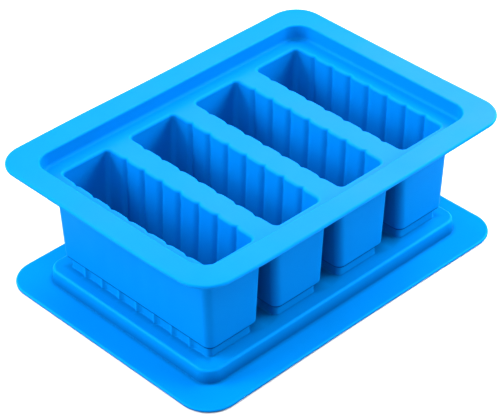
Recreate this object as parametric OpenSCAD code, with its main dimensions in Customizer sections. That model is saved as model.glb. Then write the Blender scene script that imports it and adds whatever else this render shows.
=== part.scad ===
// Silicone soap mould: a tray of four fluted cavities hanging from a stepped rim, and a plug lid.
// The lid lies plug side up on the table and the tray stands on its four plugs.
// Frame: millimetres, +X along the row of cavities, +Y along each cavity, +Z up,
// origin at the centre of the lid's underside, on the table.

/* [Rim] */
// Length of both rims, along the row of cavities
rim_w = 240; // [210:1:260]
// Width of both rims, along each cavity
rim_d = 172; // [160:1:200]
// Radius of the rims' corners
rim_r = 18.5; // [10:0.5:24]
// Thickness of the tray's rim
rim_t = 2.8; // [2:0.1:4]
// Height of the tray's rim top above the table
rim_top = 85.2; // [75:0.1:95]

/* [Recess] */
// Length of the step inside the rim
recess_w = 209.6; // [206:0.2:212]
// Width of the step inside the rim
recess_d = 139.4; // [136:0.2:144]
// Depth of the step, from the rim's top down to the deck
recess_depth = 9.1; // [6:0.1:11]
// Corner radius of the step
recess_r = 12; // [8:0.5:16]
// Lean of the step's walls, from rim to deck
recess_draft = 1.2; // [0:0.1:2]

/* [Cavities] */
// Number of cavities in the row
cavity_count = 4; // [2:1:4]
// Distance from one cavity's centre to the next
cavity_pitch = 50.4; // [48:0.1:51]
// Width of a cavity's mouth, groove to groove
cavity_w = 37.4; // [32:0.1:38]
// Length of a cavity's mouth
cavity_l = 118.6; // [100:0.1:120]
// Ribs along each long wall
rib_count = 8; // [4:1:12]
// How far each rib swells into the cavity
rib_swell = 1.6; // [0.5:0.1:2.4]
// Lean of the long walls, from mouth to floor
side_draft = 2.6; // [1:0.1:4]
// Lean of the end walls, from mouth to floor
end_draft = 1.3; // [0.5:0.1:3]
// Silicone wall thickness
wall_t = 2.7; // [2:0.1:3.5]
// Radius round the foot of each cavity body
foot_r = 3; // [1:0.5:4]

/* [Lid] */
// Thickness of the lid's rim and skin
lid_t = 2.4; // [1.6:0.1:3]
// Height of the plug platform above the lid's rim
plug_h = 9; // [6:0.1:10]
// Gap between the platform and the tray's step, each side
plug_gap = 2; // [0.5:0.1:3]
// Height of the pads that enter the cavities
pad_h = 7.2; // [4:0.1:9]
// Gap between a pad and the cavity it closes, each side
pad_gap = 1.3; // [0.5:0.1:2]

/* [Hidden] */
$fn = 48;
deck_z = rim_top - recess_depth;
platform_top = lid_t + plug_h;
foot_z = platform_top + pad_h;
body_w = cavity_w + 2 * wall_t;
body_l = cavity_l + 2 * wall_t;
body_r = 5;
mouth_r = 3.5;
platform_w = recess_w - 2 * recess_draft - 2 * plug_gap;
platform_d = recess_d - 2 * recess_draft - 2 * plug_gap;
platform_r = 9;
platform_draft = 0.8;
edge_r = 1.5;
pad_r = 3;
rib_steps = 4;
corner_steps = 4;
eps = 0.01;
cavity_x = [for (i = [0 : cavity_count - 1]) (i - (cavity_count - 1) / 2) * cavity_pitch];

// Points of a rectangle with round corners, anticlockwise
function round_outline(w, d, r) = [
    for (corner = [[1, 1, 0], [-1, 1, 90], [-1, -1, 180], [1, -1, 270]], k = [0 : corner_steps])
        let (a = corner[2] + 90 * k / corner_steps)
        [corner[0] * (w / 2 - r) + r * cos(a), corner[1] * (d / 2 - r) + r * sin(a)]
];

// How far a fluted long wall stands in from its groove line, at a distance y along it.
// The outer half of each end rib runs level into the round corner.
function rib_inset(y, l, swell) =
    let (t = (y + l / 2) * rib_count / l)
    t < 0.5 || t > rib_count - 0.5 ? swell : swell * (1 - pow(2 * (t - floor(t)) - 1, 2));

// Points of a quarter circle that starts at angle a
function corner_arc(x, y, r, a) = [
    for (k = [0 : corner_steps])
        let (turn = a + 90 * k / corner_steps)
        [x + r * cos(turn), y + r * sin(turn)]
];

// Points of a cavity's plan: two plain ends and two long walls of side-by-side round ribs
function fluted_outline(w, l, r, swell) =
    let (
        n = rib_count * rib_steps,
        first = rib_steps / 2,
        wall = [
            for (k = [first : n - first])
                let (y = -l / 2 + l * k / n)
                [w / 2 - rib_inset(y, l, swell), y]
        ],
        cx = w / 2 - swell - r,
        cy = l / 2 - r
    )
    concat(
        wall,
        corner_arc(cx, cy, r, 0),
        corner_arc(-cx, cy, r, 90),
        -wall,
        corner_arc(-cx, -cy, r, 180),
        corner_arc(cx, -cy, r, 270)
    );

// Skin stretched over outlines of equal point count, stacked from the lowest level up.
// Each cap is closed by strips between points that mirror each other across the Y axis.
module loft(levels, outlines) {
    n = len(outlines[0]);
    top = len(levels) - 1;
    corner = corner_steps + 1;
    mirrored = n - 2 * corner - 1;
    strips = [for (k = [-corner : n / 2 - corner - 2]) [k, k + 1, mirrored - k - 1, mirrored - k]];
    polyhedron(
        points = [for (i = [0 : top], p = outlines[i]) [p[0], p[1], levels[i]]],
        faces = concat(
            [for (s = strips) [for (k = s) (k + n) % n]],
            [for (i = [0 : top - 1], k = [0 : n - 1])
                [i * n + k, (i + 1) * n + k, (i + 1) * n + (k + 1) % n, i * n + (k + 1) % n]],
            [for (s = strips) [for (j = [3 : -1 : 0]) top * n + (s[j] + n) % n]]
        )
    );
}

// Flat plate with true round corners
module round_plate(w, d, r, h) {
    linear_extrude(h) {
        square([w - 2 * r, d], center = true);
        square([w, d - 2 * r], center = true);
        for (x = [-1, 1], y = [-1, 1])
            translate([x * (w / 2 - r), y * (d / 2 - r)])
                circle(r);
    }
}

// Drafted rounded block from z = low to z = high, its top grow wider than its foot on each side
module drafted_block(w, d, r, grow, low, high) {
    loft([low, high], [round_outline(w, d, r), round_outline(w + 2 * grow, d + 2 * grow, r + grow)]);
}

// Outside of one cavity body: drafted walls, round vertical corners and a round foot edge
module body_block() {
    foot_w = body_w - 2 * side_draft;
    foot_l = body_l - 2 * end_draft;
    turn = foot_r * (1 - cos(45));
    loft(
        [foot_z, foot_z + turn, foot_z + foot_r, deck_z - wall_t + eps],
        [
            round_outline(foot_w - 2 * foot_r, foot_l - 2 * foot_r, body_r - foot_r),
            round_outline(foot_w - 2 * turn, foot_l - 2 * turn, body_r - turn),
            round_outline(foot_w, foot_l, body_r),
            round_outline(body_w, body_l, body_r)
        ]
    );
}

// Hollow of one cavity: fluted long walls that lean in towards a flat floor
module cavity_hollow() {
    loft(
        [foot_z + wall_t, deck_z + eps],
        [
            fluted_outline(cavity_w - 2 * side_draft, cavity_l - 2 * end_draft, mouth_r, rib_swell),
            fluted_outline(cavity_w, cavity_l, mouth_r, rib_swell)
        ]
    );
}

// Solid pad in a cavity's plan, set in by a gap, from z = low to z = high
module pad_block(gap, low, high) {
    translate([0, 0, low])
        linear_extrude(high - low)
            polygon(fluted_outline(cavity_w - 2 * gap, cavity_l - 2 * gap, pad_r, rib_swell));
}

// Rim, stepped deck and four hanging cavity bodies in one silicone moulding
module mould_tray() {
    pan_w = recess_w - 2 * recess_draft;
    pan_d = recess_d - 2 * recess_draft;
    pan_r = recess_r - recess_draft;
    color("deepskyblue")
        difference() {
            union() {
                translate([0, 0, rim_top - rim_t])
                    round_plate(rim_w, rim_d, rim_r, rim_t);
                drafted_block(pan_w + 2 * wall_t, pan_d + 2 * wall_t, pan_r + wall_t,
                    recess_draft, deck_z - wall_t, rim_top - rim_t + eps);
                for (x = cavity_x)
                    translate([x, 0, 0])
                        body_block();
            }
            drafted_block(pan_w, pan_d, pan_r, recess_draft, deck_z, rim_top + eps);
            for (x = cavity_x)
                translate([x, 0, 0])
                    cavity_hollow();
        }
}

// Flat rim with a hollow plug platform and one hollow fluted pad for each cavity
module lid() {
    color("dodgerblue")
        difference() {
            union() {
                round_plate(rim_w, rim_d, rim_r, lid_t);
                loft(
                    [lid_t - eps, platform_top - edge_r, platform_top],
                    [
                        round_outline(platform_w + 2 * platform_draft, platform_d + 2 * platform_draft,
                            platform_r + platform_draft),
                        round_outline(platform_w, platform_d, platform_r),
                        round_outline(platform_w - edge_r, platform_d - edge_r, platform_r - edge_r / 2)
                    ]
                );
                for (x = cavity_x)
                    translate([x, 0, 0])
                        pad_block(pad_gap, platform_top - eps, foot_z);
            }
            translate([0, 0, -eps])
                round_plate(platform_w - 2 * lid_t, platform_d - 2 * lid_t, platform_r - lid_t,
                    platform_top - lid_t + eps);
            for (x = cavity_x)
                translate([x, 0, 0])
                    pad_block(pad_gap + lid_t, platform_top - lid_t - eps, foot_z - lid_t);
        }
}

mould_tray();
lid();
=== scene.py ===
"""Blue silicone soap mould: a tray of four fluted cavities standing on the plugs of its lid.

Shapes are worked out in millimetres and turned into metres when a mesh is made. +X runs along
the row of cavities, +Y along each cavity and +Z up, with the origin under the lid's centre.
"""

import logging
import math
from dataclasses import dataclass, field
from enum import Enum
from typing import Callable, Sequence

import bpy
import numpy as np
from mathutils import Matrix, Vector


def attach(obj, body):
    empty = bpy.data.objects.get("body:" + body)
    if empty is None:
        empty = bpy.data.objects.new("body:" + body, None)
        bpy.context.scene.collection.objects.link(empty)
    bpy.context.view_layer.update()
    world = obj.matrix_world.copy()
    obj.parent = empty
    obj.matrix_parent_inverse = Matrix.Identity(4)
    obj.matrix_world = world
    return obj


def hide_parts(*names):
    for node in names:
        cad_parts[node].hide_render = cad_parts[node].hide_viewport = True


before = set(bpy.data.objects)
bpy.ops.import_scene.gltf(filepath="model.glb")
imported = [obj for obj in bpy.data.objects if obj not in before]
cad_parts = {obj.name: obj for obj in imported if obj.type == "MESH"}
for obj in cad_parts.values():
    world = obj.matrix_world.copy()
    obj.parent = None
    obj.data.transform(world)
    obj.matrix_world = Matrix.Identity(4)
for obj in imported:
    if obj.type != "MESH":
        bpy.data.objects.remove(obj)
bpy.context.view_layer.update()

log = logging.getLogger("soap_mould")
MM = 0.001
# Colours mixed into the skin: deep blue for painted shade in crevices, the colour of fine dust, and
# a pale tint for painted sheen on level faces.
CREVICE_SHADE_COLOUR = (0.0, 0.015, 0.08)
DUST = (0.0, 0.3, 0.7)
SHEEN_TINT = (0.3, 0.16, 0.45)


class Slot(Enum):
    """Material slots of the part's record."""

    TRAY = "mould_silicone"
    LID = "lid_silicone"


@dataclass(frozen=True)
class LoopPlan:
    """How many segments each stretch of a loop has, so that every ring matches its neighbours.

    Args:
        cells: cavities in the row.
        ribs: ribs along each long wall.
        half_rib: segments from a groove's bottom to a rib's crest.
        corner: segments round a cavity's corner, an even number.
        end: segments across a cavity's plain end.
        bend: segments round a big corner of the rim, an even number.
    """

    cells: int = 4
    ribs: int = 8
    half_rib: int = 8
    corner: int = 8
    end: int = 12
    bend: int = 20

    @property
    def side(self) -> int:
        """Segments along a cavity's long side, half a corner at each end included."""
        return (self.ribs - 1) * 2 * self.half_rib + 2 + self.corner

    @property
    def tip(self) -> int:
        """Segments across a cavity's end, half a corner at each side included."""
        return self.end + self.corner


PLAN = LoopPlan()


@dataclass(frozen=True)
class Flutes:
    """Plan of a row of flat-faced ribs along both long sides of a loop.

    Args:
        width: groove to groove, across the loop.
        length: end to end.
        swell: how far a rib's face stands in from the groove line.
        corner: radius of the loop's corners.
        groove: how softly a groove's bottom is rounded.
        shoulder: distance from a groove over which the rib curves up to its flat face.
    """

    width: float
    length: float
    swell: float
    corner: float
    groove: float = 0.4
    shoulder: float = 3.6

    def wall(self) -> np.ndarray:
        """Points of the +X wall, from its low-Y end to its high-Y end.

        At a distance t from a groove, softened to sqrt(t^2 + g^2) - g, a rib stands
        s (1 - (1 - t / r)^2) in from the groove line, with g the groove's softness, s the swell and
        r the shoulder, and from the shoulder on it is flat. Points crowd towards the grooves, and
        the outer half of each end rib runs level.
        """
        n, k = PLAN.ribs, PLAN.half_rib
        half = self.length / (2 * n)
        share = np.linspace(-1, 1, 2 * k + 1)
        t = np.abs(share) ** 1.6 * half
        soft = np.sqrt(t**2 + self.groove**2) - self.groove
        near = np.clip(1 - soft / self.shoulder, 0, 1)
        x = self.width / 2 - self.swell * (1 - near**2)
        grooves = half * 2 * np.arange(1, n) - self.length / 2
        y = (grooves[:, None] + np.sign(share) * t)[:, :-1].ravel()
        crest, stop = self.width / 2 - self.swell, self.length / 2 - self.corner
        x = np.concatenate([[crest], np.tile(x[:-1], n - 1), [crest, crest]])
        y = np.concatenate([[-stop], y, [grooves[-1] + half, stop]])
        return np.column_stack([x, y])

    def loop(self) -> np.ndarray:
        """The whole loop, anticlockwise, from the middle of its +X -Y corner."""
        return close_loop(self.wall(), self.length, self.corner)


@dataclass(frozen=True)
class Box2:
    """Plain rounded rectangle whose points line up with those of a fluted loop.

    Args:
        width: size along X.
        length: size along Y.
        corner: corner radius.
    """

    width: float
    length: float
    corner: float

    def loop(self) -> np.ndarray:
        """The whole loop, anticlockwise, from the middle of its +X -Y corner."""
        y = wall_spread() * (self.length / 2 - self.corner)
        wall = np.column_stack([np.full_like(y, self.width / 2), y])
        return close_loop(wall, self.length, self.corner)


def wall_spread() -> np.ndarray:
    """Where a cavity wall's points lie along it, from -1 to 1."""
    y = Flutes(37.4, 118.6, 1.55, 3.25).wall()[:, 1]
    return y / y[-1]


def quarter(x: float, y: float, radius: float, start: float, steps: int) -> np.ndarray:
    """Points of a quarter circle about (x, y) that begins at the angle start, in degrees."""
    a = np.radians(start + np.linspace(0, 90, steps + 1))
    return np.column_stack([x + radius * np.cos(a), y + radius * np.sin(a)])


def close_loop(wall: np.ndarray, length: float, corner: float) -> np.ndarray:
    """Closes a +X wall into a loop with round corners and plain ends.

    The other half of the loop is this half turned by half a turn.

    Args:
        wall: points of the +X wall, low Y first.
        length: size of the loop along Y.
        corner: corner radius.

    Returns:
        The loop's points, from the middle of the +X -Y corner.
    """
    cx, cy = wall[0, 0] - corner, length / 2 - corner
    end_x = np.linspace(cx, -cx, PLAN.end + 1)
    end = np.column_stack([end_x, np.full_like(end_x, length / 2)])
    half = np.vstack(
        [
            wall[:-1],
            quarter(cx, cy, corner, 0, PLAN.corner)[:-1],
            end[:-1],
            quarter(-cx, cy, corner, 90, PLAN.corner)[:-1],
        ]
    )
    return np.roll(np.vstack([half, -half]), PLAN.corner // 2, axis=0)


def cell_edge(low: tuple[float, float], high: tuple[float, float], inner: np.ndarray) -> np.ndarray:
    """Sharp rectangle round one cavity, with its points beside those of the loop inside it.

    Args:
        low: lowest corner.
        high: highest corner.
        inner: the loop inside, centred on X = 0.

    Returns:
        The rectangle's points, from its +X -Y corner, relative to the same centre.
    """
    h = PLAN.corner // 2
    y_in = inner[h : PLAN.side - h + 1, 1]
    x_in = inner[PLAN.side + h : PLAN.side + PLAN.tip - h + 1, 0]
    ys = np.concatenate(
        [
            np.linspace(low[1], y_in[0], h, endpoint=False),
            y_in,
            np.linspace(y_in[-1], high[1], h + 1)[1:],
        ]
    )
    xs = np.concatenate(
        [
            np.linspace(high[0], x_in[0], h, endpoint=False),
            x_in,
            np.linspace(x_in[-1], low[0], h + 1)[1:],
        ]
    )
    return np.vstack(
        [
            np.column_stack([np.full_like(ys, high[0]), ys])[:-1],
            np.column_stack([xs, np.full_like(xs, high[1])])[:-1],
            np.column_stack([np.full_like(ys, low[0]), ys[::-1]])[:-1],
            np.column_stack([xs[::-1], np.full_like(xs, low[1])])[:-1],
        ]
    )


def big_loop(width: float, depth: float, radius: float) -> np.ndarray:
    """Rounded rectangle round the whole row, with as many points as the row's outer edge.

    Args:
        width: size along X.
        depth: size along Y.
        radius: corner radius.

    Returns:
        The loop's points, from the middle of the +X -Y corner.
    """
    cx, cy = width / 2 - radius, depth / 2 - radius
    n_side, n_tip = PLAN.side - PLAN.bend, PLAN.cells * PLAN.tip - PLAN.bend
    y = np.linspace(-cy, cy, n_side + 1)
    x = np.linspace(cx, -cx, n_tip + 1)
    half = np.vstack(
        [
            np.column_stack([np.full_like(y, width / 2), y])[:-1],
            quarter(cx, cy, radius, 0, PLAN.bend)[:-1],
            np.column_stack([x, np.full_like(x, depth / 2)])[:-1],
            quarter(-cx, cy, radius, 90, PLAN.bend)[:-1],
        ]
    )
    return np.roll(np.vstack([half, -half]), PLAN.bend // 2, axis=0)


@dataclass(frozen=True)
class Bend:
    """One corner of a skin's cross-section.

    Args:
        inset: distance in from the outline.
        height: height above the table.
        radius: rounding of this corner.
        steps: segments round it.
        lip: how strongly this corner counts as an outer edge for the painted highlight, 0 to 1.
    """

    inset: float
    height: float
    radius: float = 0.0
    steps: int = 1
    lip: float = 0.0


def section(bends: Sequence[Bend], margin: float = 0.5, stride: float = 7.0) -> np.ndarray:
    """Rounds the corners of a cross-section and spaces rings along it.

    Every corner becomes an arc that touches both straights. A ring lies a margin beyond each end of
    an arc, which keeps the flats flat, and long straights get rings a stride apart.

    Args:
        bends: the cross-section's corners in order.
        margin: distance from an arc to the ring beside it.
        stride: longest gap between rings on a straight.

    Returns:
        Rows of inset, height and lip.
    """
    rows: list[np.ndarray] = [np.array([[bends[0].inset, bends[0].height, bends[0].lip]])]
    for before, here, after in zip(bends, bends[1:], bends[2:]):
        p = np.array([here.inset, here.height])
        back = np.array([before.inset, before.height]) - p
        ahead = np.array([after.inset, after.height]) - p
        back, ahead = back / np.linalg.norm(back), ahead / np.linalg.norm(ahead)
        turn = math.pi - math.acos(float(back @ ahead))
        reach = here.radius * math.tan(turn / 2)
        middle = (back + ahead) / np.linalg.norm(back + ahead)
        centre = p + middle * here.radius / math.cos(turn / 2)
        t = np.linspace(0, 1, here.steps + 1)[:, None]
        a, b = p + back * reach - centre, p + ahead * reach - centre
        arc = centre + (np.sin((1 - t) * turn) * a + np.sin(t * turn) * b) / math.sin(turn)
        arc = np.vstack([p + back * (reach + margin), arc, p + ahead * (reach + margin)])
        lip = here.lip * np.sin(np.clip(np.linspace(-0.1, 1.1, len(arc)), 0, 1) * math.pi)
        rows.append(np.column_stack([arc, lip]))
    rows.append(np.array([[bends[-1].inset, bends[-1].height, bends[-1].lip]]))
    path = [rows[0]]
    for block in rows[1:]:
        last, first = path[-1][-1], block[0]
        gap = float(np.linalg.norm(first[:2] - last[:2]))
        along = first[:2] - last[:2]
        towards = block[-1][:2] - last[:2]
        if gap < 0.05 or float(along @ towards) < 0:
            block = block[1:]
        elif gap > stride:
            t = np.linspace(0, 1, int(gap / stride) + 2)[1:-1, None]
            path.append(last + (first - last) * t)
        path.append(block)
    return np.vstack([p for p in path if len(p)])


@dataclass
class Skin:
    """A closed surface under construction: rings of points and the faces between them."""

    points: list[np.ndarray] = field(default_factory=list)
    lips: list[np.ndarray] = field(default_factory=list)
    faces: list[np.ndarray] = field(default_factory=list)
    count: int = 0

    def ring(self, outline: np.ndarray, height: float, lip: float = 0.0) -> np.ndarray:
        """Adds one ring at a height and returns its points' numbers."""
        n = len(outline)
        self.points.append(np.column_stack([outline, np.full(n, height)]))
        self.lips.append(np.full(n, lip))
        self.count += n
        return np.arange(self.count - n, self.count)

    def bridge(self, outer: np.ndarray, inner: np.ndarray, under: bool) -> None:
        """Joins two rings with a band of quads, facing down if it is on the underside."""
        a, b = np.roll(outer, -1), np.roll(inner, -1)
        quads = np.column_stack([outer, a, b, inner])
        self.faces.append(quads[:, ::-1] if under else quads)

    def run(
        self,
        path: np.ndarray,
        outline: Callable[[float, float], np.ndarray],
        under: bool,
        start: np.ndarray | None = None,
    ) -> np.ndarray:
        """Adds the rings of one cross-section, joined to each other.

        Args:
            path: rows of inset, height and lip.
            outline: gives the ring's plan for an inset and a height.
            under: whether the surface faces down.
            start: a ring to join the first one to.

        Returns:
            The last ring.
        """
        last = start
        for inset, height, lip in path:
            ring = self.ring(outline(inset, height), height, lip)
            if last is not None:
                self.bridge(last, ring, under)
            last = ring
        return last

    def cap(self, ring: np.ndarray, under: bool) -> None:
        """Closes a cavity's loop with strips between points that mirror each other across Y."""
        h = PLAN.corner // 2
        right = np.concatenate([ring[-h:], ring[: PLAN.side + h + 1]])
        mirror = np.roll(ring[::-1], PLAN.side + 1)
        left = np.concatenate([mirror[-h:], mirror[: PLAN.side + h + 1]])
        strips = np.column_stack([right[1:-2], right[2:-1], left[2:-1], left[1:-2]])
        self.faces.append(strips[:, ::-1] if under else strips)
        top = ring[PLAN.side + h - 1 : PLAN.side + PLAN.tip - h + 2]
        foot = np.roll(ring, PLAN.tip)[h - 1 : PLAN.tip - h + 2]
        for fan in (top, foot):
            self.faces.append(np.array([fan[::-1] if under else fan]))

    def mesh(
        self,
        name: str,
        sag: Callable[[np.ndarray], np.ndarray],
        painted_shades: Callable[[np.ndarray], np.ndarray],
    ) -> bpy.types.Mesh:
        """Welds equal points, lets the skin sag and returns it as a smooth mesh in metres.

        Args:
            name: name of the mesh.
            sag: moves the points a little.
            painted_shades: how strongly painted shade darkens each point, 0 to 1.
        """
        points = np.vstack(self.points)
        lips = np.concatenate(self.lips)
        _, first, number = np.unique(
            np.round(points, 3), axis=0, return_index=True, return_inverse=True
        )
        number = number.ravel()
        faces = [f for block in self.faces for f in number[block].tolist()]
        mesh = bpy.data.meshes.new(name)
        mesh.from_pydata((sag(points[first]) * MM).tolist(), [], faces)
        mesh.polygons.foreach_set("use_smooth", np.ones(len(faces), bool))
        mesh.update()
        up = np.empty(len(first) * 3)
        mesh.vertices.foreach_get("normal", up)
        # Painted sheen: a pale tint on level faces, stronger towards +X and -Y, for the reflection         of the lights behind on the right; it is kept off the deck beside the step's +X and +Y walls.
        x, y = points[first, 0] / 120, points[first, 1] / 86
        film = (0.12 + 0.18 * (x - y + 2)) * (1 - 0.7 * np.clip(x * y, 0, 1))
        film *= np.clip(up[2::3], 0, 1) ** 8
        deck = (points[first, 2] < 80) & (points[first, 2] > 70)
        film *= np.where(deck, ramp((0.8 - x) / 0.06) * ramp((0.74 - y) / 0.1), 1)
        marks = {"lip": lips[first], "film": film, "nook": painted_shades(points[first])}
        for label, values in marks.items():
            layer = mesh.attributes.new(label, "FLOAT", "POINT")
            layer.data.foreach_set("value", values.astype(np.float32))
        return mesh


def bump(t: np.ndarray) -> np.ndarray:
    """Smooth hump: 1 where t is 0, falling to 0 where t reaches 1 either way."""
    return np.where(np.abs(t) < 1, 0.5 + 0.5 * np.cos(np.pi * np.clip(t, -1, 1)), 0.0)


def ramp(t: np.ndarray) -> np.ndarray:
    """Smooth step from 0 to 1 as t goes from 0 to 1."""
    u = np.clip(t, 0, 1)
    return u * u * (3 - 2 * u)


def rounded_distance(
    x: np.ndarray, y: np.ndarray, width: float, depth: float, radius: float
) -> np.ndarray:
    """Distance of each point outside a rounded rectangle about the origin; negative inside.

    The corner radius is taken off both half sizes, the distance to what is left is measured, and
    the radius is taken off again.
    """
    qx = np.abs(x) - width / 2 + radius
    qy = np.abs(y) - depth / 2 + radius
    outside = np.hypot(np.maximum(qx, 0), np.maximum(qy, 0))
    return outside + np.minimum(np.maximum(qx, qy), 0) - radius


@dataclass(frozen=True)
class RowOfCells:
    """Where the cavities stand and how far the flat cell round each one reaches.

    Args:
        pitch: distance between neighbours.
        outer: reach of an outer cell beyond its own centre.
        depth: half size of a cell along Y.
    """

    pitch: float
    outer: float
    depth: float

    def centres(self) -> np.ndarray:
        """X of each cavity's centre."""
        return (np.arange(PLAN.cells) - (PLAN.cells - 1) / 2) * self.pitch

    def build(
        self,
        skin: Skin,
        last_big: np.ndarray,
        height: float,
        path: np.ndarray,
        outline: Callable[[float, float], np.ndarray],
        under: bool,
    ) -> None:
        """Joins a big ring to the row's outer edge and sinks or raises one loop in each cell.

        Args:
            skin: the surface to add to.
            last_big: the ring that surrounds the row.
            height: height of the flat between the loops.
            path: cross-section of one loop's wall.
            outline: plan of one loop for an inset and a height.
            under: whether the surface faces down.
        """
        inner = outline(float(path[0, 0]), float(path[0, 1]))
        centres = self.centres()
        edges = []
        for i, x in enumerate(centres):
            low = (-self.outer if i == 0 else -self.pitch / 2, -self.depth)
            high = (self.outer if i == len(centres) - 1 else self.pitch / 2, self.depth)
            edge = cell_edge(low, high, inner) + [x, 0]
            edges.append(edge)
            ring = skin.ring(edge, height)
            loop = lambda inset, z, x=x: outline(inset, z) + [x, 0]
            last = skin.run(path, loop, under, ring)
            skin.cap(last, under)
        s, t = PLAN.side, PLAN.tip
        row = [edges[-1][:s]]
        row += [e[s : s + t] for e in reversed(edges)]
        row += [edges[0][s + t : 2 * s + t]]
        row += [e[2 * s + t :] for e in edges]
        skin.bridge(last_big, skin.ring(np.vstack(row), height), under)


@dataclass(frozen=True)
class Tray:
    """The upper moulding: rim, stepped deck and four hanging cavity bodies.

    Args:
        rim: length, width and corner radius of the rim.
        rim_t: thickness of the rim.
        top: height of the rim's top.
        recess: length, width and corner radius of the step inside the rim.
        deck: height of the deck between the cavities.
        recess_draft: lean of the step's walls.
        pitch: distance between cavities.
        mouth: width, length, rib swell and corner radius of a cavity's mouth.
        draft: lean of a cavity's long walls and of its ends.
        lip: rounding round a cavity's mouth.
        wall: thickness of the silicone.
        body: width, length and corner radius of a cavity body under the deck.
        foot: height of the bodies' feet.
    """

    rim: tuple[float, float, float] = (240.0, 172.1, 18.5)
    rim_t: float = 2.8
    top: float = 85.25
    recess: tuple[float, float, float] = (209.6, 139.5, 12.0)
    deck: float = 76.15
    recess_draft: float = 1.2
    pitch: float = 50.41
    mouth: tuple[float, float, float, float] = (37.4, 118.6, 1.55, 3.25)
    draft: tuple[float, float] = (2.6, 1.3)
    lip: float = 1.75
    wall: float = 2.7
    body: tuple[float, float, float] = (43.0, 124.8, 5.0)
    foot: float = 18.6

    def rim_plan(self, inset: float, _height: float) -> np.ndarray:
        """Plan of the rim's edge at an inset."""
        w, d, r = self.rim
        return big_loop(w - 2 * inset, d - 2 * inset, r - inset)

    def recess_plan(self, inset: float, _height: float) -> np.ndarray:
        """Plan of the step at an inset."""
        w, d, r = self.recess
        return big_loop(w - 2 * inset, d - 2 * inset, r - inset)

    def pan_plan(self, inset: float, _height: float) -> np.ndarray:
        """Plan of the outside of the step, one wall thickness further out."""
        return self.recess_plan(inset - self.wall, 0.0)

    def end_inset(self, inset: float) -> float:
        """Inset at a cavity's ends, which lean less than its long walls."""
        side, end = self.draft
        return float(np.interp(inset, [-10, 0, side, side + 10], [-10, 0, end, end + 10]))

    def mouth_plan(self, inset: float, height: float) -> np.ndarray:
        """Plan of a cavity at an inset: fluted walls, plain where they turn into the floor."""
        w, length, swell, corner = self.mouth
        end = self.end_inset(inset)
        grow = max(-inset, 0.0)
        floor = self.foot + self.wall
        fade = float(ramp(np.array((height - floor) / 6.0)))
        corner += grow
        less = swell * 0.25 * float(ramp(np.array((height - self.deck) / 5.0 + 1.3)))
        soft = 0.4 + 0.5 * grow / self.lip
        across, along = w - 2 * inset, length - 2 * end
        fluted = Flutes(across - 2 * less, along, swell - less, corner, soft).loop()
        plain = Box2(w - 2 * inset - 2 * swell, length - 2 * end, corner).loop()
        return plain + (fluted - plain) * fade

    def body_plan(self, inset: float, _height: float) -> np.ndarray:
        """Plan of a cavity body's outside at an inset."""
        w, length, corner = self.body
        tighter = max(inset - self.draft[0] - 0.1, 0.0)
        return Box2(
            w - 2 * inset,
            length - 2 * self.end_inset(inset),
            max(corner + max(-inset, 0.0) - tighter, 1.2),
        ).loop()

    def build(self) -> bpy.types.Mesh:
        """Builds the tray's skin: the top side inwards from the rim's edge, then the underside."""
        skin = Skin()
        low = self.top - self.rim_t
        middle = (self.top + low) / 2
        edge = self.rim_t / 2
        pan = self.deck - self.wall
        floor = self.foot + self.wall
        rim_top = section(
            [Bend(0, middle, lip=0.0), Bend(0, self.top, edge, 8, 1.0), Bend(3.4, self.top)]
        )
        rim_low = section([Bend(0, middle), Bend(0, low, edge, 6, 0.4), Bend(3.4, low)])
        step = section(
            [
                Bend(-3.0, self.top),
                Bend(0, self.top, 1.2, 7, 1.0),
                Bend(self.recess_draft, self.deck, 2.0, 7),
                Bend(3.3, self.deck),
            ],
            0.3,
        )
        hollow = section(
            [
                Bend(-self.lip - 0.3, self.deck),
                Bend(0, self.deck, self.lip, 7, 1.0),
                Bend(self.draft[0], floor, 4.5, 7),
                Bend(9.0, floor),
            ],
            0.15,
        )
        under_step = section(
            [
                Bend(-3.0, low),
                Bend(0, low, 1.2, 5),
                Bend(self.recess_draft, pan, 3.0, 6, 0.5),
                Bend(4.35, pan),
            ],
            0.2,
        )
        outside = section(
            [
                Bend(-2.15, pan),
                Bend(0, pan, 2.0, 6),
                Bend(self.draft[0] + 0.1, self.foot, 2.4, 8),
                Bend(8.0, self.foot),
            ],
            0.1,
        )
        equator = skin.ring(self.rim_plan(0, middle), middle)
        rim = skin.run(rim_top[1:], self.rim_plan, False, equator)
        inner = skin.run(step, self.recess_plan, False, rim)
        RowOfCells(self.pitch, 21.4, 61.55).build(
            skin, inner, self.deck, hollow, self.mouth_plan, False
        )
        rim = skin.run(rim_low[1:], self.rim_plan, True, equator)
        inner = skin.run(under_step, self.pan_plan, True, rim)
        RowOfCells(self.pitch, 24.0, 64.65).build(skin, inner, pan, outside, self.body_plan, True)
        return skin.mesh("soap_tray", self.sag, self.painted_shades)

    def sag(self, p: np.ndarray) -> np.ndarray:
        """Lets the soft moulding bow a little.

        The inner edge of the -Y rim bows out and down, the rim's -X -Y corner lifts, the outer wall
        of the first cavity bows out at its mouth, and the rim waves by a few tenths all round. The
        ribs inside show faintly as waves on the two outermost walls.
        """
        x, y, z = p.T.copy()
        high = ramp((z - 60) / 14)
        span = bump(x / 106)
        band = bump((-y - 69.5) / 13.5) * high
        corner = ramp((-x - 70) / 50) * ramp((-y - 35) / 50) * high
        mouth = bump((x + 94.3) / 9) * bump(y / 60) * ramp((z - 45) / 31)
        rim = np.maximum(ramp((np.abs(x) - 104) / 16), ramp((np.abs(y) - 69) / 17)) * high
        wave = np.sin(x / 31 + 0.7) * np.cos(y / 24 - 0.4) + 0.5 * np.sin((x + y) / 17)
        ribs = np.cos(y * 2 * np.pi * PLAN.ribs / self.mouth[1]) * (np.abs(x) > 93)
        ribs *= bump(y / 62) * ramp((z - self.foot - 4) / 10) * ramp((70 - z) / 6)
        return np.column_stack(
            [
                x - 0.9 * mouth + 0.1 * np.sign(x) * ribs,
                y - 1.4 * span * band,
                z - 0.7 * span * band + 1.9 * corner + 0.22 * rim * wave,
            ]
        )

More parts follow.
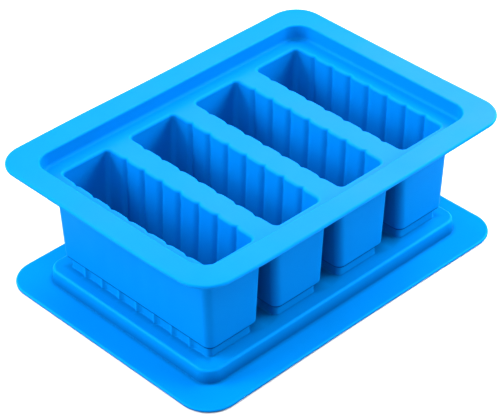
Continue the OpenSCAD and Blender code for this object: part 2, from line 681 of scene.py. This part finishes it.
    def painted_shades(self, p: np.ndarray) -> np.ndarray:
        """Painted shade: under the bodies' feet, under the rim's edge and between the bodies."""
        x, y, z = p.T
        foot = ramp((self.foot + 2.4 - z) / 0.9)
        beside = np.abs(np.mod(x + self.pitch, self.pitch) - self.pitch / 2) - self.pitch / 2
        gap = ramp((beside + 8.5) / 3) * ramp((66 - np.abs(y)) / 12) * (np.abs(x) < 80)
        gap *= (z < self.deck - self.wall + 0.1) * (z > self.foot)
        rim = rounded_distance(x, y, *self.rim)
        low = self.top - self.rim_t
        under = ramp((low + 0.9 - z) / 0.6) * ramp(1 + rim / 3.0) * ramp((z - low + 2) / 1.0)
        return np.maximum.reduce([foot, 0.5 * under, 0.4 * gap])


@dataclass(frozen=True)
class Lid:
    """The lower moulding, plug side up: flat rim, raised platform and four fluted pads.

    Args:
        rim: length, width and corner radius of the rim.
        skin_t: thickness of the rim and of the skin everywhere.
        platform: length, width and corner radius of the platform at its foot.
        platform_top: height of the platform.
        platform_draft: lean of the platform's walls.
        pitch: distance between pads.
        pad: width, length, rib swell and corner radius of a pad.
        pad_top: height of the pads.
    """

    rim: tuple[float, float, float] = (239.8, 172.1, 19.0)
    skin_t: float = 2.4
    platform: tuple[float, float, float] = (204.8, 136.7, 9.8)
    platform_top: float = 11.4
    platform_draft: float = 0.8
    pitch: float = 50.41
    pad: tuple[float, float, float, float] = (34.8, 115.8, 1.5, 3.0)
    pad_top: float = 18.55

    def rim_plan(self, inset: float, _height: float) -> np.ndarray:
        """Plan of the rim's edge at an inset."""
        w, d, r = self.rim
        return big_loop(w - 2 * inset, d - 2 * inset, r - inset)

    def platform_plan(self, inset: float, _height: float) -> np.ndarray:
        """Plan of the platform at an inset."""
        w, d, r = self.platform
        return big_loop(w - 2 * inset, d - 2 * inset, r - inset)

    def hollow_plan(self, inset: float, _height: float) -> np.ndarray:
        """Plan of the hollow under the platform, one skin thickness further in."""
        w, d, r = self.platform
        t = self.skin_t
        return big_loop(w - 2 * t - 2 * inset, d - 2 * t - 2 * inset, max(r - t - inset, 2.0))

    def pad_plan(self, inset: float, _height: float) -> np.ndarray:
        """Plan of a pad at an inset."""
        w, length, swell, corner = self.pad
        grow = max(-inset, 0.0)
        groove = 0.45 + 0.5 * max(inset, 0.0)
        round_off = max(corner + grow - max(inset, 0), 1.0)
        return Flutes(w - 2 * inset, length - 2 * inset, swell, round_off, groove).loop()

    def pad_hollow_plan(self, inset: float, height: float) -> np.ndarray:
        """Plan of the hollow under a pad."""
        return self.pad_plan(inset + self.skin_t, height)

    def build(self) -> bpy.types.Mesh:
        """Builds the lid's skin: the plug side inwards from the rim's edge, then the hollow side."""
        skin = Skin()
        t = self.skin_t
        edge = t / 2
        rim_top = section([Bend(0, edge), Bend(0, t, edge, 7, 1.0), Bend(3.0, t)])
        rim_low = section([Bend(0, edge), Bend(0, 0, edge, 5, 0.4), Bend(3.0, 0)])
        plug = section(
            [
                Bend(-2.4, t),
                Bend(0, t, 0.5, 4),
                Bend(self.platform_draft, self.platform_top, 1.7, 8, 1.0),
                Bend(3.0, self.platform_top),
            ],
            0.3,
        )
        pad = section(
            [
                Bend(-1.2, self.platform_top),
                Bend(0, self.platform_top, 0.35, 3),
                Bend(0, self.pad_top, 0.6, 4, 1.0),
                Bend(1.8, self.pad_top),
            ],
            0.25,
        )
        hollow = section(
            [
                Bend(-2.4, 0),
                Bend(0, 0, 0.8, 4, 0.5),
                Bend(self.platform_draft, self.platform_top - t, 1.0, 4),
                Bend(2.6, self.platform_top - t),
            ],
            0.3,
        )
        pad_hollow = section(
            [
                Bend(-1.1, self.platform_top - t),
                Bend(0, self.platform_top - t, 0.6, 3, 0.5),
                Bend(0, self.pad_top - t, 0.6, 3),
                Bend(1.4, self.pad_top - t),
            ],
            0.25,
        )
        equator = skin.ring(self.rim_plan(0, edge), edge)
        rim = skin.run(rim_top[1:], self.rim_plan, False, equator)
        inner = skin.run(plug, self.platform_plan, False, rim)
        RowOfCells(self.pitch, 20.6, 61.3).build(
            skin, inner, self.platform_top, pad, self.pad_plan, False
        )
        rim = skin.run(rim_low[1:], self.rim_plan, True, equator)
        inner = skin.run(hollow, self.hollow_plan, True, rim)
        RowOfCells(self.pitch, 18.6, 59.0).build(
            skin, inner, self.platform_top - t, pad_hollow, self.pad_hollow_plan, True
        )
        return skin.mesh("soap_lid", self.sag, self.painted_shades)

    def sag(self, p: np.ndarray) -> np.ndarray:
        """Lets the -Y edge of the soft rim bow, and the rim lift off the table in places."""
        x, y, z = p.T.copy()
        rim = np.maximum(ramp((np.abs(x) - 104) / 14), ramp((np.abs(y) - 70) / 14))
        lift = 0.5 + 0.5 * np.sin(x / 27 + 1.1) * np.cos(y / 33)
        return np.column_stack(
            [x, y + 0.8 * bump(x / 118) * ramp((-y - 70) / 14), z + 0.3 * rim * lift]
        )

    def painted_shades(self, p: np.ndarray) -> np.ndarray:
        """Painted shade: round the platform's and pads' feet, on top of the pads, under the rim."""
        x, y, z = p.T
        foot = ramp(1 - np.abs(rounded_distance(x, y, *self.platform)) / 1.6)
        foot *= (z < 3.2) * (z > 1.5)
        w, length, _, corner = self.pad
        cell = np.mod(x + self.pitch * PLAN.cells / 2, self.pitch) - self.pitch / 2
        pad = ramp(1 - np.abs(rounded_distance(cell, y, w, length, corner)) / 1.6)
        pad *= (np.abs(z - self.platform_top) < 0.4) * (np.abs(x) < 96)
        top = ramp((z - self.pad_top + 0.12) / 0.1)
        rim = rounded_distance(x, y, *self.rim)
        under = ramp((1.7 - z) / 0.7) * ramp(1 + rim / 3.0)
        return np.maximum.reduce([0.6 * foot, 0.4 * pad, top, 0.7 * under])


def socket(
    tree: bpy.types.NodeTree, name: str, kind: str, output: bool = False
) -> bpy.types.NodeTreeInterfaceSocket:
    """Adds an input or output socket to a shader group."""
    return tree.interface.new_socket(
        name=name, in_out="OUTPUT" if output else "INPUT", socket_type=f"NodeSocket{kind}"
    )


@dataclass(frozen=True)
class Silicone:
    """Satin moulded silicone.

    Args:
        body: linear colour of the moulding.
        highlight_colour: linear colour of the painted highlight along outer edges.
        edge: how far an outer edge goes towards that colour, as painted highlight.
        roughness: roughness of clean silicone.
        cloud: size of the faint patches in the colour.
        dust: how much the fine dust lightens the skin.
        film: how much painted sheen, a pale tint, lies on the level faces.
    """

    body: tuple[float, float, float]
    highlight_colour: tuple[float, float, float]
    edge: float
    roughness: float
    cloud: float = 0.03
    dust: float = 0.05
    film: float = 0.0

    @staticmethod
    def group() -> bpy.types.NodeTree:
        """Shared shader group for the skin's colour, roughness and fine surface.

        The colour carries a painted highlight on outer edges, a painted sheen on level faces and
        painted shade in crevices.
        """
        name = "moulded_silicone_skin"
        if name in bpy.data.node_groups:
            return bpy.data.node_groups[name]
        g = bpy.data.node_groups.new(name, "ShaderNodeTree")
        for label, kind in (
            ("Body", "Color"),
            ("Edge Colour", "Color"),
            ("Edge", "Float"),
            ("Roughness", "Float"),
            ("Cloud", "Float"),
            ("Dust", "Float"),
            ("Film", "Float"),
        ):
            socket(g, label, kind)
        socket(g, "Color", "Color", True)
        socket(g, "Roughness", "Float", True)
        socket(g, "Normal", "Vector", True)
        new, link = g.nodes.new, g.links.new
        enter, leave = new("NodeGroupInput"), new("NodeGroupOutput")
        place = new("ShaderNodeTexCoord").outputs["Object"]

        def noise(scale: float, detail: float, rough: float = 0.5) -> bpy.types.NodeSocket:
            """One layer of soft noise in object space."""
            n = new("ShaderNodeTexNoise")
            n.inputs["Scale"].default_value = scale
            n.inputs["Detail"].default_value = detail
            n.inputs["Roughness"].default_value = rough
            link(place, n.inputs["Vector"])
            return n.outputs["Fac"]

        def maths(
            kind: str,
            a: bpy.types.NodeSocket | float,
            b: bpy.types.NodeSocket | float,
            clamp: bool = False,
        ) -> bpy.types.NodeSocket:
            """One sum; a and b are sockets or plain numbers."""
            m = new("ShaderNodeMath")
            m.operation, m.use_clamp = kind, clamp
            for slot, value in zip(m.inputs, (a, b)):
                if isinstance(value, (int, float)):
                    slot.default_value = value
                else:
                    link(value, slot)
            return m.outputs[0]

        def mix(
            kind: str,
            fac: bpy.types.NodeSocket,
            a: bpy.types.NodeSocket,
            b: bpy.types.NodeSocket | tuple[float, float, float],
        ) -> bpy.types.NodeSocket:
            """One colour mix from a to b."""
            m = new("ShaderNodeMix")
            m.data_type, m.blend_type = "RGBA", kind
            link(fac, m.inputs[0])
            link(a, m.inputs[6])
            if isinstance(b, tuple):
                m.inputs[7].default_value = (*b, 1.0)
            else:
                link(b, m.inputs[7])
            return m.outputs[2]

        lip = new("ShaderNodeAttribute")
        lip.attribute_name = "lip"
        cloud = maths("SUBTRACT", noise(22, 3), 0.5)
        patch = maths("MULTIPLY", cloud, enter.outputs["Cloud"])
        patch = maths("MULTIPLY", patch, 4.0)
        shade = new("ShaderNodeHueSaturation")
        link(enter.outputs["Body"], shade.inputs["Color"])
        link(maths("ADD", patch, 1.0), shade.inputs["Value"])
        # Painted highlight: outer edges, marked by the lip mask, are lightened towards the edge
        # colour.
        highlight_amount = maths("MULTIPLY", lip.outputs["Fac"], enter.outputs["Edge"], True)
        colour = mix("MIX", highlight_amount, shade.outputs["Color"], enter.outputs["Edge Colour"])
        grain = noise(950, 2, 0.7)
        film = maths("MULTIPLY", noise(60, 5, 0.65), enter.outputs["Dust"])
        specks = maths("GREATER_THAN", grain, 0.74)
        film = maths("ADD", film, maths("MULTIPLY", specks, 0.05), True)
        colour = mix("MIX", film, colour, DUST)
        # Painted sheen: level faces are mixed towards a pale tint, with soft noise in it.
        level = new("ShaderNodeAttribute")
        level.attribute_name = "film"
        sheen_amount = maths("MULTIPLY", level.outputs["Fac"], enter.outputs["Film"])
        sheen_amount = maths("MULTIPLY", sheen_amount, maths("ADD", noise(34, 6, 0.7), 0.5), True)
        colour = mix("MIX", sheen_amount, colour, SHEEN_TINT)
        # Painted shade: crevices, undersides of edges and gaps between parts darken towards deep
        # blue.
        shade_mask = new("ShaderNodeAttribute")
        shade_mask.attribute_name = "nook"
        shade_amount = maths("MULTIPLY", shade_mask.outputs["Fac"], 0.85)
        colour = mix("MIX", shade_amount, colour, CREVICE_SHADE_COLOUR)
        link(colour, leave.inputs["Color"])
        rub = maths("MULTIPLY", maths("SUBTRACT", noise(75, 4, 0.6), 0.5), 0.3)
        rough = maths("ADD", enter.outputs["Roughness"], rub)
        rough = maths("SUBTRACT", rough, maths("MULTIPLY", lip.outputs["Fac"], 0.1), True)
        link(rough, leave.inputs["Roughness"])
        fine = new("ShaderNodeBump")
        fine.inputs["Strength"].default_value = 0.08
        fine.inputs["Distance"].default_value = 0.0002
        link(grain, fine.inputs["Height"])
        soft = new("ShaderNodeBump")
        soft.inputs["Strength"].default_value = 0.2
        soft.inputs["Distance"].default_value = 0.0012
        link(noise(38, 2), soft.inputs["Height"])
        link(fine.outputs["Normal"], soft.inputs["Normal"])
        link(soft.outputs["Normal"], leave.inputs["Normal"])
        return g

    def material(self, name: str) -> bpy.types.Material:
        """A material of this silicone."""
        mat = bpy.data.materials.new(name)
        mat.use_nodes = True
        tree = mat.node_tree
        skin = tree.nodes.new("ShaderNodeGroup")
        skin.node_tree = self.group()
        skin.inputs["Body"].default_value = (*self.body, 1.0)
        skin.inputs["Edge Colour"].default_value = (*self.highlight_colour, 1.0)
        skin.inputs["Edge"].default_value = self.edge
        skin.inputs["Roughness"].default_value = self.roughness
        skin.inputs["Cloud"].default_value = self.cloud
        skin.inputs["Dust"].default_value = self.dust
        skin.inputs["Film"].default_value = self.film
        shader = tree.nodes["Principled BSDF"]
        shader.inputs["IOR"].default_value = 1.41
        shader.inputs["Specular IOR Level"].default_value = 0.01
        tree.links.new(skin.outputs["Color"], shader.inputs["Base Color"])
        tree.links.new(skin.outputs["Roughness"], shader.inputs["Roughness"])
        tree.links.new(skin.outputs["Normal"], shader.inputs["Normal"])
        return mat


@dataclass(frozen=True)
class SoftBox:
    """One soft studio light.

    Args:
        name: what it is called.
        azimuth: bearing it shines from, degrees from +X towards +Y.
        elevation: degrees above the table.
        distance: metres from the mould.
        size: metres across.
        power: watts.
    """

    name: str
    azimuth: float
    elevation: float
    distance: float
    size: float
    power: float

    def build(self, aim: Vector) -> None:
        """Hangs the light, turned to the mould."""
        light = bpy.data.lights.new(self.name, "AREA")
        light.shape, light.size, light.energy = "DISK", self.size, self.power
        thing = bpy.data.objects.new(self.name, light)
        a, e = math.radians(self.azimuth), math.radians(self.elevation)
        way = Vector((math.cos(a) * math.cos(e), math.sin(a) * math.cos(e), math.sin(e)))
        thing.location = aim + way * self.distance
        thing.rotation_mode = "QUATERNION"
        thing.rotation_quaternion = way.to_track_quat("Z", "Y")
        bpy.context.scene.collection.objects.link(thing)


@dataclass(frozen=True)
class Studio:
    """Pale table, soft light and the camera.

    Args:
        table: size of the table top, metres.
        glow: strength of the even light all round.
        lights: the soft lights.
        bearing: camera azimuth, degrees; 0 looks along +Y.
        rise: camera elevation, degrees.
        distance: camera to target, metres.
        target: point that the camera looks at, metres.
        lens: focal length, millimetres.
        shift: sideways and upward lens shift.
    """

    table: float = 9.0
    glow: float = 0.3
    lights: tuple[SoftBox, ...] = (
        SoftBox("low_left_softbox", 150.0, 20.0, 1.7, 0.85, 22.0),
        SoftBox("mid_left_softbox", 130.0, 30.0, 1.7, 0.85, 32.0),
        SoftBox("back_left_softbox", 115.0, 45.0, 1.7, 0.85, 6.2),
        SoftBox("left_softbox", 180.0, 35.0, 1.7, 0.85, 9.2),
        SoftBox("front_softbox", 225.0, 55.0, 1.7, 0.85, 15.8),
        SoftBox("right_softbox", -45.0, 35.0, 1.7, 0.85, 5.0),
        SoftBox("low_right_softbox", -20.0, 30.0, 1.7, 0.85, 24.0),
        SoftBox("back_right_softbox", 0.0, 45.0, 1.7, 0.85, 28.5),
        SoftBox("top_softbox", 80.0, 65.0, 1.7, 0.85, 20.0),
        SoftBox("near_back_right_softbox", -10.0, 20.0, 0.6, 0.3, 1.1),
        SoftBox("near_right_softbox", -50.0, 25.0, 0.6, 0.3, 2.9),
    )
    bearing: float = -44.82
    rise: float = 36.47
    distance: float = 1.2333
    target: tuple[float, float, float] = (0.0118, -0.0046, 0.030)
    lens: float = 153.36
    shift: tuple[float, float] = (-0.051, 0.001)

    def build(self) -> None:
        """Builds the table, the lights and the camera."""
        self.build_table()
        for light in self.lights:
            light.build(Vector((0.0, 0.0, 0.05)))
        world = bpy.data.worlds.new("even_glow")
        world.use_nodes = True
        back = world.node_tree.nodes["Background"]
        back.inputs["Color"].default_value = (1.0, 1.0, 1.0, 1.0)
        back.inputs["Strength"].default_value = self.glow
        scene = bpy.context.scene
        scene.world = world
        scene.view_settings.view_transform = "Standard"
        scene.view_settings.look = "None"
        self.build_camera()
        log.info("studio: table, %d soft lights and camera", len(self.lights))

    def build_table(self) -> None:
        """Lays the pale table top."""
        s = self.table / 2
        mesh = bpy.data.meshes.new("table_top")
        mesh.from_pydata([(-s, -s, 0), (s, -s, 0), (s, s, 0), (-s, s, 0)], [], [(0, 1, 2, 3)])
        mat = bpy.data.materials.new("pale_table")
        mat.use_nodes = True
        tree = mat.node_tree
        place = tree.nodes.new("ShaderNodeTexCoord")
        grain = tree.nodes.new("ShaderNodeTexNoise")
        grain.inputs["Scale"].default_value = 14.0
        tint = tree.nodes.new("ShaderNodeValToRGB")
        tint.color_ramp.elements[0].color = (0.54, 0.54, 0.54, 1.0)
        tint.color_ramp.elements[1].color = (0.57, 0.57, 0.57, 1.0)
        shader = tree.nodes["Principled BSDF"]
        shader.inputs["Roughness"].default_value = 0.9
        shader.inputs["Specular IOR Level"].default_value = 0.1
        tree.links.new(place.outputs["Object"], grain.inputs["Vector"])
        tree.links.new(grain.outputs["Fac"], tint.inputs["Fac"])
        tree.links.new(tint.outputs["Color"], shader.inputs["Base Color"])
        mesh.materials.append(mat)
        floor = bpy.data.objects.new("table_top", mesh)
        bpy.context.scene.collection.objects.link(floor)

    def build_camera(self) -> None:
        """Sets the camera up on its bearing."""
        data = bpy.data.cameras.new("camera")
        data.sensor_fit, data.sensor_width = "HORIZONTAL", 36.0
        data.lens = self.lens
        data.shift_x, data.shift_y = self.shift
        data.clip_start, data.clip_end = 0.05, 50.0
        a, e = math.radians(self.bearing), math.radians(self.rise)
        back = Vector((math.sin(a) * math.cos(e), -math.cos(a) * math.cos(e), math.sin(e)))
        right = Vector((math.cos(a), math.sin(a), 0.0))
        up = back.cross(right)
        camera = bpy.data.objects.new("camera", data)
        turn = Matrix((right, up, back)).transposed().to_4x4()
        camera.matrix_world = Matrix.Translation(Vector(self.target) + back * self.distance) @ turn
        bpy.context.scene.collection.objects.link(camera)
        bpy.context.scene.camera = camera


def place(mesh: bpy.types.Mesh, finish: Silicone, slot: Slot, body: str, node: str) -> None:
    """Shows a finished mesh in place of a CAD node.

    Args:
        mesh: the piece's surface.
        finish: its material.
        slot: the record's material slot.
        body: the CAD body that it moves with.
        node: the CAD node that it stands for.
    """
    mesh.materials.append(finish.material(slot.value))
    piece = bpy.data.objects.new(mesh.name, mesh)
    bpy.context.scene.collection.objects.link(piece)
    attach(piece, body)
    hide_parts(node)
    log.info("%s: %d faces", mesh.name, len(mesh.polygons))


def main() -> None:
    """Builds the whole scene."""
    logging.basicConfig(level=logging.INFO, format="%(name)s: %(message)s")
    tray_blue = Silicone(
        (0.0, 0.126, 0.437), (0.0, 0.172, 0.55), 0.6, 0.5, film=0.05
    )
    # The lid's colours are a little lighter than the tray's, as painted light on the lid.
    lid_blue = Silicone((0.0, 0.137, 0.45), (0.0, 0.182, 0.55), 0.6, 0.52)
    place(Tray().build(), tray_blue, Slot.TRAY, "tray", "mould_tray")
    place(Lid().build(), lid_blue, Slot.LID, "lid", "lid")
    Studio().build()


if __name__ == "__main__":
    main()
